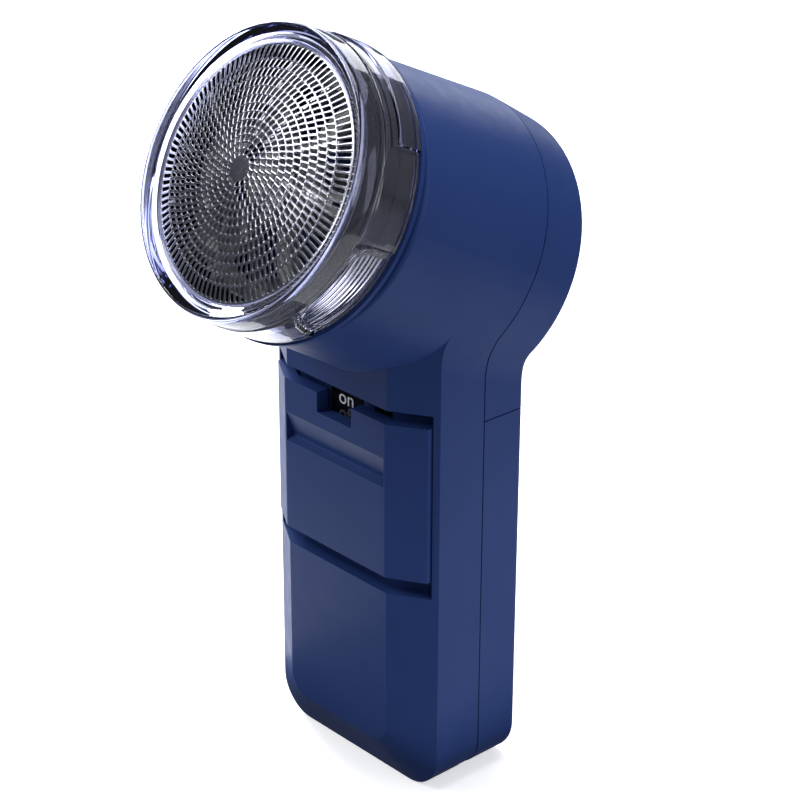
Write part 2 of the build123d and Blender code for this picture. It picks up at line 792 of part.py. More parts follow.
with BuildPart() as motor_bracket:
    with BuildSketch(station(bracket_back)):
        Ellipse(*bracket_half)
        with Locations((0, bracket_cut[1] - bracket_half[1] / 2)):
            Rectangle(bracket_cut[0], bracket_half[1], mode=Mode.SUBTRACT)
        with Locations(*lug_spots):
            Circle(lug_hole_r, mode=Mode.SUBTRACT)
        with Locations(*motor_screw_spots):
            Circle(clear_r, mode=Mode.SUBTRACT)
        Circle(hub_hole_r, mode=Mode.SUBTRACT)
    extrude(amount=bracket_front - bracket_back)
    for spot in post_spots:
        add(head_cylinder(post_r, bracket_back, bowl_s, *spot))
        add(head_cylinder(post_pilot_r, bracket_back + post_floor, bowl_s, *spot),
            mode=Mode.SUBTRACT)
save(motor_bracket.part, "motor_bracket")


def screw(shank, seat_s, length, x, v):
    """Small pan-head screw seated at a station, with its shank running back."""
    head, head_t = screw_head
    cross_long, cross_wide, cross_deep = screw_cross
    with BuildPart() as one:
        add(head_cylinder(head, seat_s, seat_s + head_t, x, v))
        add(head_cylinder(shank, seat_s - length, seat_s, x, v))
        with BuildSketch(station(seat_s + head_t - cross_deep)):
            with Locations((x, v)):
                Rectangle(cross_long, cross_wide)
                Rectangle(cross_wide, cross_long)
        extrude(amount=cross_deep, mode=Mode.SUBTRACT)
    return one.part


with BuildPart() as motor_screws:
    for spot in motor_screw_spots:
        add(screw(small_shank_r, bracket_front, motor_screw_len, *spot))
save(motor_screws.part, "motor_screws")

with BuildPart() as bracket_screws:
    for spot in lug_spots:
        add(screw(shank_r, bracket_front, bracket_screw_len, *spot))
save(bracket_screws.part, "bracket_screws")

with BuildPart() as cutter_deck:
    add(turned([(hub_hole_r, bowl_s), (deck_r, bowl_s), (deck_r, collar_s[0]),
                (collar_r, collar_s[0]), (collar_r, collar_s[1]), (spigot_r, collar_s[1]),
                (spigot_r, deck_top), (bowl_r, deck_top), (bowl_r, deck_floor),
                (hub_hole_r, deck_floor)]))
    for spot in post_spots:
        add(head_cylinder(clear_r, bowl_s, deck_floor, *spot), mode=Mode.SUBTRACT)
save(cutter_deck.part, "cutter_deck")

with BuildPart() as deck_screws:
    for spot in post_spots:
        add(screw(shank_r, deck_floor, deck_screw_len, *spot))
save(deck_screws.part, "deck_screws")

with BuildPart() as shaft_seal:
    add(head_ring(seal_r, shaft_r + seal_gap, deck_floor, deck_floor + seal_t))
save(shaft_seal.part, "shaft_seal")

# --- drive hub, spring and inner cutter ---------------------------------------------------
with BuildPart() as drive_hub:
    with BuildSketch(station(hub_s[0])):
        Rectangle(2 * hub_half, 2 * hub_half)
        fillet(vertices(), hub_edge)
    extrude(amount=hub_s[1] - hub_s[0])
    add(head_cylinder(hub_flange[0], hub_s[0], hub_flange[1]))
    add(head_cylinder(shaft_r, hub_s[0], shaft_s[1]), mode=Mode.SUBTRACT)
save(drive_hub.part, "drive_hub")

spring_from, spring_to = float_spring_s
save(coil_spring(station(spring_from), spring_to - spring_from, float_spring_r,
                 float_spring_wire, float_spring_pitch), "cutter_spring")

with BuildPart() as cutter_carrier:
    with BuildSketch(station(carrier_s[0])):
        Circle(carrier_r[1])
        Circle(carrier_r[0], mode=Mode.SUBTRACT)
        with PolarLocations(0, spoke_count):
            with Locations((spoke_at, 0)):
                Rectangle(*spoke_size)
        Circle(carrier_hub_r)
        Rectangle(2 * (hub_half + hub_gap), 2 * (hub_half + hub_gap), mode=Mode.SUBTRACT)
    extrude(amount=carrier_s[1] - carrier_s[0])
save(cutter_carrier.part, "cutter_carrier")


def dome_at(radius, drop):
    """Point on the domed foil at a radius, or straight below it by drop."""
    return (radius, dome_s - drop + math.sqrt(dome_r**2 - radius**2))


with BuildPart() as one_blade:
    with BuildSketch(Plane.XZ):
        with BuildLine():
            tip = ThreePointArc(*(dome_at(r, foil_t + blade_gap)
                                  for r in (blade_r[0], sum(blade_r) / 2, blade_r[1])))
            Polyline(tip @ 1, (blade_r[1], carrier_s[1]), *blade_back, tip @ 0)
        make_face()
    extrude(amount=blade_t / 2, both=True)

with BuildPart() as cutter_blades:
    with PolarLocations(0, blade_count):
        add(one_blade.part)
    with BuildSketch(Plane.XY.offset(web_s[0])):
        Circle(web_r[1])
        Circle(web_r[0], mode=Mode.SUBTRACT)
    extrude(amount=web_s[1] - web_s[0])
save(head_plane.from_local_coords(cutter_blades.part), "cutter_blades")

with BuildPart() as cutter_cap:
    add(turned(cap_profile))
save(cutter_cap.part, "cutter_cap")

# --- foil frame ---------------------------------------------------------------------------
with BuildPart() as foil_frame:
    with BuildSketch(Plane.XZ):
        with BuildLine():
            outer = Polyline(frame_inner[0], (frame_r, frame_s), *frame_band)
            crest = ThreePointArc(outer @ 1, crest_top, crest_inner)
            Polyline(crest @ 1, (foil_r, foil_s + foil_step), (foil_r, foil_s),
                     (retainer_r[1], foil_s), *frame_inner[::-1])
        make_face()
    revolve(axis=Axis.Z)
save(head_plane.from_local_coords(foil_frame.part), "foil_frame")

with BuildPart() as outer_foil:
    with BuildSketch(Plane.XZ):
        with BuildLine():
            dome = ThreePointArc(*(dome_at(r, 0) for r in (0, foil_r / 2, foil_r)))
            back = ThreePointArc(*(dome_at(r, foil_t) for r in (0, foil_r / 2, foil_r)))
            Polyline(dome @ 1, (foil_rim_r, foil_s), (foil_rim_r, foil_s - foil_t), back @ 1)
            Line(dome @ 0, back @ 0)
        make_face()
    revolve(axis=Axis.Z)
save(head_plane.from_local_coords(outer_foil.part), "outer_foil")

with BuildPart() as foil_retainer:
    add(head_ring(retainer_r[1], retainer_r[0], retainer_s, foil_s - foil_t))
save(foil_retainer.part, "foil_retainer")

# --- lead wires ---------------------------------------------------------------------------
lead_s = motor_back - lead_back


def lead(points, bend_r):
    """Insulated lead along straight runs joined by tangent arcs."""
    with BuildPart() as wire:
        with BuildLine() as route:
            FilletPolyline(*points, radius=bend_r)
        with BuildSketch(Plane(origin=route.wires()[0] @ 0, z_dir=route.wires()[0] % 0)):
            Circle(lead_r)
        sweep()
    return wire.part


def down_the_back(x, z):
    """Point just inside the rear wall, at the depth of the motor terminals."""
    return (x, (-lead_s + (z - head_z) * math.sin(tilt)) / math.cos(tilt), z)


def from_terminal(x):
    """Straight first run of a lead, from its motor terminal down the rear wall."""
    return [down_the_back(x, lead_top_z), down_the_back(x, lead_bend_z)]


save(lead(from_terminal(terminal_x) + [negative_end], negative_bend_r), "wire_negative")
save(lead(from_terminal(-terminal_x) + positive_path, positive_bend_r), "wire_positive")
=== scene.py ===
import json
import math

import bmesh
import bpy
import numpy as np
from mathutils import Matrix, Vector


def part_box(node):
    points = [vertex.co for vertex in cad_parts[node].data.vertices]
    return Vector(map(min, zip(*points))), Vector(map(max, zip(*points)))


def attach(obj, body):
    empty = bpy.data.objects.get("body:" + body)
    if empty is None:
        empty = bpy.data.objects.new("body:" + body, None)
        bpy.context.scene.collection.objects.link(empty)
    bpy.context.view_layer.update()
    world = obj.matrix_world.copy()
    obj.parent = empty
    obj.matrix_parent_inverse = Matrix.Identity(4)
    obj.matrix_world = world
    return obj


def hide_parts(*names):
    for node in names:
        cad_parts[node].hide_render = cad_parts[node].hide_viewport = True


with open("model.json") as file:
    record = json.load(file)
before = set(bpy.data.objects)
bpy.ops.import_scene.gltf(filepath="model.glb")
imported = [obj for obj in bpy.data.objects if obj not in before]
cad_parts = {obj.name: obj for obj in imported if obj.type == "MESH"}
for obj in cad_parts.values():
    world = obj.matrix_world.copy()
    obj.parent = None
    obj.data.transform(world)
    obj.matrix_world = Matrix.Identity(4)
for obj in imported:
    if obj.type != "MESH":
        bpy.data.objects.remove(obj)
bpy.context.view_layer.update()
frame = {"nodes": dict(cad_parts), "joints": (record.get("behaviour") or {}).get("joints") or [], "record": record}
nodes = frame["nodes"]
mm = 0.001

# --- head coordinates: x, up the head face, along the head axis ----------------------------
spin = next(j for j in frame["joints"] if j["name"] == "motor_spin")
head_axis = Vector(spin["axis"]).normalized()
head_origin = Vector(spin["pos_m"])
head_up = Vector((0, head_axis.z, -head_axis.y))
head_matrix = Matrix.Translation(head_origin) @ Matrix(
    (
        (1, 0, 0, 0),
        (0, head_up.y, head_axis.y, 0),
        (0, head_up.z, head_axis.z, 0),
        (0, 0, 0, 1),
    )
)


def head_extent(node):
    """Outer radius, inner radius, lowest and highest station of a node about the head axis."""
    inverse = head_matrix.inverted()
    points = [inverse @ v.co for v in nodes[node].data.vertices]
    radii = [math.hypot(p.x, p.y) for p in points]
    return max(radii), min(radii), min(p.z for p in points), max(p.z for p in points)


# --- materials ----------------------------------------------------------------------------
def new_material(name, color, roughness, metallic=0.0, ior=1.5, specular=0.5, coat=0.0):
    """Principled material with uniform values on the shader's own sockets."""
    material = bpy.data.materials.new(name)
    material.use_nodes = True
    shader = material.node_tree.nodes["Principled BSDF"]
    shader.inputs["Base Color"].default_value = (*color, 1)
    shader.inputs["Roughness"].default_value = roughness
    shader.inputs["Metallic"].default_value = metallic
    shader.inputs["IOR"].default_value = ior
    shader.inputs["Specular IOR Level"].default_value = specular
    shader.inputs["Coat Weight"].default_value = coat
    return material, material.node_tree, shader


def noise(tree, scale, detail=2.0, stretch=(1, 1, 1)):
    """Noise in object space, with an optional stretch along each axis."""
    coordinates = tree.nodes.new("ShaderNodeTexCoord")
    mapping = tree.nodes.new("ShaderNodeMapping")
    mapping.inputs["Scale"].default_value = stretch
    texture = tree.nodes.new("ShaderNodeTexNoise")
    texture.inputs["Scale"].default_value = scale
    texture.inputs["Detail"].default_value = detail
    tree.links.new(coordinates.outputs["Object"], mapping.inputs["Vector"])
    tree.links.new(mapping.outputs["Vector"], texture.inputs["Vector"])
    return texture


def vary_color(tree, shader, texture, low, high):
    """Base colour that drifts between two values with a texture."""
    ramp = tree.nodes.new("ShaderNodeValToRGB")
    ramp.color_ramp.elements[0].position = 0.3
    ramp.color_ramp.elements[0].color = (*low, 1)
    ramp.color_ramp.elements[1].position = 0.7
    ramp.color_ramp.elements[1].color = (*high, 1)
    tree.links.new(texture.outputs["Fac"], ramp.inputs["Fac"])
    tree.links.new(ramp.outputs["Color"], shader.inputs["Base Color"])
    return ramp


def vary_roughness(tree, shader, texture, low, high):
    """Roughness that drifts between two values with a texture."""
    spread = tree.nodes.new("ShaderNodeMapRange")
    spread.inputs["From Min"].default_value = 0.3
    spread.inputs["From Max"].default_value = 0.7
    spread.inputs["To Min"].default_value = low
    spread.inputs["To Max"].default_value = high
    tree.links.new(texture.outputs["Fac"], spread.inputs["Value"])
    tree.links.new(spread.outputs["Result"], shader.inputs["Roughness"])


def bump(tree, shader, texture, strength, distance, output="Fac"):
    """Surface relief from a texture."""
    relief = tree.nodes.new("ShaderNodeBump")
    relief.inputs["Strength"].default_value = strength
    relief.inputs["Distance"].default_value = distance
    tree.links.new(texture.outputs[output], relief.inputs["Height"])
    tree.links.new(relief.outputs["Normal"], shader.inputs["Normal"])


def grained_plastic(name, low, high, roughness, grain_mm, specular=0.4, strength=0.25):
    """Moulded plastic with a fine spark-eroded grain."""
    material, tree, shader = new_material(name, high, roughness, specular=specular)
    broad = noise(tree, 60)
    vary_color(tree, shader, broad, low, high)
    vary_roughness(tree, shader, noise(tree, 400, 4), roughness - 0.04, roughness + 0.04)
    bump(tree, shader, noise(tree, 1 / (grain_mm * mm), 2), strength, 0.02 * mm)
    return material


def metal(name, low, high, roughness, stretch=(1, 1, 1), scale=3000, strength=0.2):
    """Bare metal with fine grain or drawn lines."""
    material, tree, shader = new_material(name, high, roughness, metallic=1)
    grain = noise(tree, scale, 3, stretch)
    vary_color(tree, shader, noise(tree, 250, 3), low, high)
    vary_roughness(tree, shader, grain, roughness - 0.06, roughness + 0.06)
    bump(tree, shader, grain, strength, 0.01 * mm)
    return material


def smoke_clear():
    """Clear acrylic whose grey smoke tint deepens with thickness."""
    material, tree, shader = new_material("smoke_clear", (0.95, 0.955, 0.99), 0.03, ior=1.49)
    shader.inputs["Transmission Weight"].default_value = 1
    vary_color(tree, shader, noise(tree, 120, 2), (0.94, 0.945, 0.98), (0.96, 0.965, 1.0))
    vary_roughness(tree, shader, noise(tree, 600, 4), 0.01, 0.04)
    bump(tree, shader, noise(tree, 300, 1), 0.05, 0.01 * mm)
    tint = tree.nodes.new("ShaderNodeVolumeAbsorption")
    tint.inputs["Color"].default_value = (0.13, 0.17, 0.48, 1)
    tint.inputs["Density"].default_value = 300
    tree.links.new(tint.outputs["Volume"], tree.nodes["Material Output"].inputs["Volume"])
    return material


def winding():
    """Enamelled copper wire laid side by side."""
    material, tree, shader = new_material("copper_wire", (0.75, 0.30, 0.12), 0.3, metallic=1)
    coordinates = tree.nodes.new("ShaderNodeTexCoord")
    turns = tree.nodes.new("ShaderNodeTexWave")
    turns.bands_direction = "Z"
    turns.inputs["Scale"].default_value = 900
    turns.inputs["Distortion"].default_value = 1.5
    tree.links.new(coordinates.outputs["Object"], turns.inputs["Vector"])
    vary_color(tree, shader, noise(tree, 500, 2), (0.60, 0.22, 0.08), (0.80, 0.36, 0.15))
    bump(tree, shader, turns, 0.6, 0.05 * mm)
    return material


def felt():
    """Matted wool."""
    material, tree, shader = new_material("felt", (0.74, 0.70, 0.62), 0.95)
    fibres = noise(tree, 2500, 6, (1, 1, 0.4))
    vary_color(tree, shader, fibres, (0.62, 0.58, 0.50), (0.80, 0.76, 0.68))
    bump(tree, shader, fibres, 0.8, 0.1 * mm)
    return material


def cell_jacket():
    """Shrink sleeve in two plain colours over a steel can."""
    material, tree, shader = new_material("cell_jacket", (0.05, 0.06, 0.07), 0.32)
    low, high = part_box("battery_left")
    coordinates = tree.nodes.new("ShaderNodeTexCoord")
    split = tree.nodes.new("ShaderNodeSeparateXYZ")
    span = tree.nodes.new("ShaderNodeMapRange")
    span.inputs["From Min"].default_value = low.z
    span.inputs["From Max"].default_value = high.z
    bands = tree.nodes.new("ShaderNodeValToRGB")
    bands.color_ramp.interpolation = "CONSTANT"
    steps = [
        (0.0, (0.62, 0.63, 0.64)),
        (0.02, (0.05, 0.06, 0.07)),
        (0.70, (0.55, 0.33, 0.12)),
        (0.965, (0.62, 0.63, 0.64)),
    ]
    bands.color_ramp.elements[0].color = (*steps[0][1], 1)
    bands.color_ramp.elements[1].position = steps[1][0]
    bands.color_ramp.elements[1].color = (*steps[1][1], 1)
    for position, color in steps[2:]:
        bands.color_ramp.elements.new(position).color = (*color, 1)
    tree.links.new(coordinates.outputs["Object"], split.inputs["Vector"])
    tree.links.new(split.outputs["Z"], span.inputs["Value"])
    tree.links.new(span.outputs["Result"], bands.inputs["Fac"])
    tree.links.new(bands.outputs["Color"], shader.inputs["Base Color"])
    bump(tree, shader, noise(tree, 900, 3), 0.1, 0.02 * mm)
    vary_roughness(tree, shader, noise(tree, 700, 4), 0.26, 0.38)
    return material


navy = grained_plastic(
    "navy_plastic", (0.021, 0.049, 0.180), (0.026, 0.055, 0.195), 0.42, 0.16, specular=0.10
)


def deck_plastic_and_painted_shade():
    """Navy collar, with the spigot in front of it coloured near-black inside the clear frame as painted shade for
    the dark interior seen through it.
    """
    material, tree, shader = new_material("deck_plastic_and_painted_shade", (0.023, 0.052, 0.19), 0.42, specular=0.08)
    coordinates = tree.nodes.new("ShaderNodeTexCoord")
    along = tree.nodes.new("ShaderNodeVectorMath")
    along.operation = "DOT_PRODUCT"
    along.inputs[1].default_value = head_axis
    edge = head_extent("foil_frame")[2] + head_origin.dot(head_axis)
    share = tree.nodes.new("ShaderNodeMapRange")
    share.inputs["From Min"].default_value = edge - 0.09 * mm
    share.inputs["From Max"].default_value = edge - 0.07 * mm
    tree.links.new(coordinates.outputs["Object"], along.inputs[0])
    tree.links.new(along.outputs["Value"], share.inputs["Value"])
    # painted shade: the navy deck turns near-black inside the clear frame to stand in for the shade seen through
    # it
    spigot_painted_shade = tree.nodes.new("ShaderNodeMixRGB")
    spigot_painted_shade.inputs["Color2"].default_value = (0.008, 0.008, 0.011, 1)
    ramp = vary_color(tree, shader, noise(tree, 60), (0.021, 0.049, 0.180), (0.026, 0.055, 0.195))
    tree.links.new(share.outputs["Result"], spigot_painted_shade.inputs["Fac"])
    tree.links.new(ramp.outputs["Color"], spigot_painted_shade.inputs["Color1"])
    tree.links.new(spigot_painted_shade.outputs["Color"], shader.inputs["Base Color"])
    vary_roughness(tree, shader, noise(tree, 400, 4), 0.38, 0.46)
    bump(tree, shader, noise(tree, 6000), 0.25, 0.02 * mm)
    return material


black_plastic = grained_plastic(
    "black_plastic", (0.006, 0.006, 0.008), (0.011, 0.011, 0.014), 0.5, 0.2, specular=0.06
)
# painted shade: the legend pad is coloured near-black, darker than its navy, to stand in for the shade in the
# switch panel's notch
pad_painted_shade = grained_plastic(
    "pad_painted_shade", (0.003, 0.003, 0.005), (0.005, 0.005, 0.008), 0.6, 0.2, specular=0.06
)
white_plastic = grained_plastic("white_plastic", (0.72, 0.72, 0.69), (0.80, 0.80, 0.77), 0.45, 0.3)
foil_steel = metal(
    "foil_steel", (0.27, 0.275, 0.33), (0.36, 0.365, 0.42), 0.15, scale=4000, strength=0.08
)
blade_steel = metal("blade_steel", (0.50, 0.51, 0.54), (0.62, 0.63, 0.66), 0.3, (1, 1, 8))
plated_steel = metal("plated_steel", (0.52, 0.53, 0.54), (0.62, 0.62, 0.62), 0.36, (1, 1, 6))
screw_steel = metal("screw_steel", (0.42, 0.42, 0.43), (0.55, 0.55, 0.56), 0.3, (4, 4, 1))
spring_steel = metal("spring_steel", (0.55, 0.56, 0.58), (0.68, 0.68, 0.70), 0.22, (1, 1, 5))
brass = metal("contact_brass", (0.66, 0.55, 0.30), (0.78, 0.68, 0.42), 0.34, (6, 1, 1))
sintered = grained_plastic("sintered_magnet", (0.05, 0.05, 0.055), (0.09, 0.09, 0.095), 0.6, 0.12)
red_rubber = grained_plastic("red_insulation", (0.42, 0.02, 0.02), (0.52, 0.03, 0.03), 0.4, 0.2)
black_rubber = grained_plastic("black_insulation", (0.01, 0.01, 0.01), (0.02, 0.02, 0.02), 0.4, 0.2)
print_white = grained_plastic("white_print", (0.90, 0.90, 0.94), (0.95, 0.95, 0.98), 0.5, 0.1)
# painted shade: the white print coloured dark grey to stand in for the shadow the switch panel casts on the word
# off
print_painted_shade = grained_plastic("painted_shade_print", (0.07, 0.07, 0.10), (0.10, 0.10, 0.14), 0.5, 0.1)
smoke = smoke_clear()
copper = winding()

slot_materials = {
    "navy_plastic": navy,
    "smoke_clear": smoke,
    "foil_steel": foil_steel,
    "cutter_steel": blade_steel,
    "dark_plastic": black_plastic,
    "white_plastic": white_plastic,
    "legend_pad": pad_painted_shade,
    "motor_steel": plated_steel,
    "magnet": sintered,
    "copper": copper,
    "contact_metal": brass,
    "spring_steel": spring_steel,
    "screw_steel": screw_steel,
    "cell_jacket": cell_jacket(),
    "felt": felt(),
    "red_lead": red_rubber,
    "black_lead": black_rubber,
}
for entry in frame["record"]["subparts"]:
    mesh = nodes[entry["node"]].data
    mesh.materials.clear()
    mesh.materials.append(slot_materials[entry["material_slot"]])
nodes["cutter_deck"].data.materials[0] = deck_plastic_and_painted_shade()


# --- mesh helpers -------------------------------------------------------------------------
def add_piece(name, vertices, faces, material, body):
    """New smooth-shaded object from row-frame vertices in metres."""
    mesh = bpy.data.meshes.new(name)
    mesh.from_pydata(vertices, [], faces)
    mesh.validate()
    mesh.materials.append(material)
    for polygon in mesh.polygons:
        polygon.use_smooth = True
    piece = bpy.data.objects.new(name, mesh)
    bpy.context.scene.collection.objects.link(piece)
    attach(piece, body)
    return piece


def head_point(radius, angle, along):
    """Row-frame point from a radius, an angle from the top towards +X, and a station."""
    return head_matrix @ Vector((radius * math.sin(angle), radius * math.cos(angle), along))


# --- outer foil: a thin dome cut by rings of leaning slots ---------------------------------
foil_outer, _, _, foil_top = head_extent("outer_foil")
frame_outer, _, frame_back, _ = head_extent("foil_frame")
rim_drop = 2.6 * mm
rim_along = foil_top - rim_drop
dome_radius = 17.7 * mm
dome_rise = foil_top - rim_along
hub_radius = 1.7 * mm
slot_pitch = 0.92 * mm
inner_rings = 12
outer_ring_width = 2.2 * mm
first_ring = 0.92 * mm
slot_lean = math.radians(17)
slot_bar = 0.16 * mm
slot_half_width = 0.27 * slot_pitch
foil_thickness = 0.07 * mm
rim_margin = 0.15 * mm                   # plain metal between the last slots and the rim
turn_scale = 1e5                         # angles are keyed in steps of 1/turn_scale radian


def dome_along(radius):
    """Station of the domed foil at a radius."""
    ball = (dome_radius**2 + dome_rise**2) / (2 * dome_rise)
    return rim_along + dome_rise - ball + math.sqrt(ball**2 - min(radius, dome_radius) ** 2)


def ring_edges():
    """Radii that bound the rings of slots, widening outward."""
    room = dome_radius - rim_margin - outer_ring_width - hub_radius
    last_ring = 2 * room / inner_rings - first_ring
    edges = [hub_radius]
    for i in range(inner_rings):
        edges.append(edges[-1] + first_ring + (last_ring - first_ring) * i / (inner_rings - 1))
    return edges + [edges[-1] + outer_ring_width]


class Dome:
    """Collects vertices of the slotted dome and shares those on the ring edges."""

    def __init__(self):
        self.mesh = bmesh.new()
        self.rings = {}

    def vertex(self, radius, angle, sink=0.0):
        return self.mesh.verts.new(head_point(radius, angle, dome_along(radius) - sink))

    def on_ring(self, ring, radius, angle):
        turn = round((angle % (2 * math.pi)) * turn_scale) % round(2 * math.pi * turn_scale)
        shared = self.rings.setdefault(ring, {})
        if turn not in shared:
            shared[turn] = self.vertex(radius, angle)
        return turn

    def between(self, ring, start, end):
        """Shared ring vertices from one angle to another, going forward."""
        shared = self.rings[ring]
        full = round(2 * math.pi * turn_scale)
        span = (end - start) % full
        inside = sorted((t - start) % full for t in shared)
        return [shared[(start + t) % full] for t in inside if t <= span]


def slot_outline(half_width, half_length, corner_steps=2):
    """Rounded slot as (across, along) points, counter-clockwise from the lower left."""
    radius = min(half_width, half_length) * 0.6
    points = []
    corners = [(-1, -1, 180), (1, -1, 270), (1, 1, 0), (-1, 1, 90)]
    for side, end, start in corners:
        for step in range(corner_steps + 1):
            turn = math.radians(start + 90 * step / corner_steps)
            points.append(
                (
                    side * (half_width - radius) + radius * math.cos(turn),
                    end * (half_length - radius) + radius * math.sin(turn),
                )
            )
    return points


def build_foil():
    """Slotted dome with rounded bars, its plain hub and its clamped rim."""
    dome = Dome()
    edges = ring_edges()
    plan = []
    for ring in range(len(edges) - 1):
        inner, outer = edges[ring], edges[ring + 1]
        middle = (inner + outer) / 2
        count = round(2 * math.pi * middle / slot_pitch)
        last = ring == len(edges) - 2
        lean = 0.25 * slot_lean if last else slot_lean
        step = 2 * math.pi / count
        offset = 0.5 * step * (ring % 2)
        shear = math.tan(lean) / middle
        plan.append((ring, inner, outer, middle, count, step, offset, shear, last))
        for i in range(count):
            for cut in (0, 1 / 3, 2 / 3):
                for edge, radius in ((ring, inner), (ring + 1, outer)):
                    angle = offset + step * (i - 0.5 + cut) + shear * (radius - middle)
                    dome.on_ring(edge, radius, angle)
    for ring, inner, outer, middle, count, step, offset, shear, last in plan:
        outline = slot_outline(slot_half_width, (outer - inner) / 2 - slot_bar)
        per_side = len(outline) // 4
        for i in range(count):
            centre = offset + step * i

            def place(across, along, sink):
                radius = middle + along
                angle = centre + across / middle + shear * along
                return dome.vertex(radius, angle, sink)

            rim = [place(a, b, 0.045 * mm) for a, b in outline]
            lip = [place(a * 1.3, b + math.copysign(0.08 * mm, b), 0.008 * mm)
                   for a, b in outline]
            corners = []
            for radius, edge in ((inner, ring), (outer, ring + 1)):
                for cut in (0, 1):
                    angle = centre + step * (cut - 0.5) + shear * (radius - middle)
                    corners.append(dome.on_ring(edge, radius, angle))
            low = dome.between(ring, corners[0], corners[1])
            high = dome.between(ring + 1, corners[2], corners[3])
            size = len(outline)
            for j in range(size):
                k = (j + 1) % size
                dome.mesh.faces.new((lip[j], lip[k], rim[k], rim[j]))
            half = per_side // 2
            bottom = [lip[j % size] for j in range(half, per_side + half + 1)]
            right = [lip[j % size] for j in range(per_side + half, 2 * per_side + half + 1)]
            top = [lip[j % size] for j in range(2 * per_side + half, 3 * per_side + half + 1)]
            left = [lip[j % size] for j in range(3 * per_side + half, 4 * per_side + half + 1)]
            dome.mesh.faces.new(low + bottom[::-1])
            dome.mesh.faces.new([low[-1], high[-1]] + right[::-1])
            dome.mesh.faces.new(high[::-1] + top[::-1])
            dome.mesh.faces.new([high[0], low[0]] + left[::-1])
    hub_ring = dome.rings[0]
    hub = [hub_ring[t] for t in sorted(hub_ring)]
    middle_ring = [dome.vertex(hub_radius * 0.5, t / turn_scale) for t in sorted(hub_ring)]
    tip = dome.vertex(0, 0)
    for i in range(len(hub)):
        j = (i + 1) % len(hub)
        dome.mesh.faces.new((hub[j], hub[i], middle_ring[i], middle_ring[j]))
        dome.mesh.faces.new((middle_ring[j], middle_ring[i], tip))
    last_ring = dome.rings[len(edges) - 1]
    turns = sorted(last_ring)
    loops = [[last_ring[t] for t in turns]]
    for radius, along in ((dome_radius, rim_along), (foil_outer, rim_along)):
        loops.append([dome.mesh.verts.new(head_point(radius, t / turn_scale, along)) for t in turns])
    for a, b in zip(loops, loops[1:]):
        for i in range(len(turns)):
            j = (i + 1) % len(turns)
            dome.mesh.faces.new((a[i], a[j], b[j], b[i]))
    bmesh.ops.recalc_face_normals(dome.mesh, faces=dome.mesh.faces)
    mesh = bpy.data.meshes.new("slotted_foil")
    dome.mesh.to_mesh(mesh)
    dome.mesh.free()
    mesh.materials.append(foil_steel)
    for polygon in mesh.polygons:
        polygon.use_smooth = True
    piece = bpy.data.objects.new("slotted_foil", mesh)
    bpy.context.scene.collection.objects.link(piece)
    if mesh.polygons[0].normal.dot(head_axis) < 0:
        mesh.flip_normals()
    thick = piece.modifiers.new("thickness", "SOLIDIFY")
    thick.thickness = foil_thickness
    thick.offset = -1
    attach(piece, "foil_frame")
    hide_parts("outer_foil")


build_foil()

# --- clear foil frame ---------------------------------------------------------------------
ring_steps = 720
band_top = frame_back + 6.5 * mm         # shoulder line between the side band and the bead
step_angle = math.radians(61.5)          # the raised upper band ends here on both sides
step_along = frame_back + 3.9 * mm
step_height = 0.32 * mm
grip_depth = 0.35 * mm
grip_ribs = 8
rim_width = 0.32 * mm
rim_height = 0.16 * mm
rail_points = [                          # grip outline: degrees from the top, mm from the back
    (100.0, 0.6), (100.6, 3.9), (102.4, 5.3), (105.0, 6.0), (110.0, 6.4), (118.0, 6.6),
    (128.0, 6.7), (136.0, 6.0), (140.0, 5.2), (142.5, 4.2), (144.0, 2.4), (144.7, 0.6),
]
ring_outer = [                           # radius and mm from the back, up the outside
    (21.15, 0.0), (21.35, 0.12), (21.4, 0.4), (21.33, 2.4), (21.2, 4.4), (21.02, 5.9),
    (20.92, 6.25), (20.72, 6.45), (20.64, 6.7), (20.6, 7.6), (20.56, 8.6), (20.52, 9.4),
    (20.46, 9.9), (20.36, 10.22), (20.2, 10.44), (20.0, 10.55), (19.8, 10.52), (19.62, 10.4),
    (19.2, 10.12), (18.7, 9.78), (18.2, 9.46), (17.95, 9.28), (17.8, 9.12), (17.72, 9.05),
]
ring_inner = [                           # seat, cone behind the dish, inner wall
    (17.72, 9.0), (18.4, 9.0), (18.4, 8.4), (18.8, 8.63), (19.2, 8.87), (19.34, 8.87),
    (19.4, 8.8), (19.64, 5.9), (19.87, 3.0), (20.1, 0.0),
]


def dense_outer():
    """Outer profile resampled finely enough to carry the grips."""
    points = []
    for (r0, a0), (r1, a1) in zip(ring_outer, ring_outer[1:]):
        count = max(1, round(math.hypot(r1 - r0, a1 - a0) / 0.14))
        points += [(r0 + (r1 - r0) * i / count, a0 + (a1 - a0) * i / count)
                   for i in range(count)]
    return points + [ring_outer[-1]]


def smooth_step(value, low, high):
    """Smooth ramp from 0 to 1 between two values."""
    share = np.clip((value - low) / (high - low), 0, 1)
    return share * share * (3 - 2 * share)


def grip_shape(angles, alongs):
    """Signed distance inside the grip outline and distance to its rim, in metres."""
    radius = frame_outer
    rail = np.array([(math.radians(a) * radius, s * mm) for a, s in rail_points])
    x = np.abs(angles) * radius
    best = np.full(x.shape, 1.0)
    for start, end in zip(rail, rail[1:]):
        step = end - start
        share = ((x - start[0]) * step[0] + (alongs - start[1]) * step[1]) / (step @ step)
        share = np.clip(share, 0, 1)
        gap = np.hypot(x - start[0] - share * step[0], alongs - start[1] - share * step[1])
        best = np.minimum(best, gap)
    crown = np.interp(x, rail[:, 0], rail[:, 1], left=-1, right=-1)
    inside = (alongs < crown) & (x > rail[0][0]) & (x < rail[-1][0])
    return np.where(inside, best, -best), best


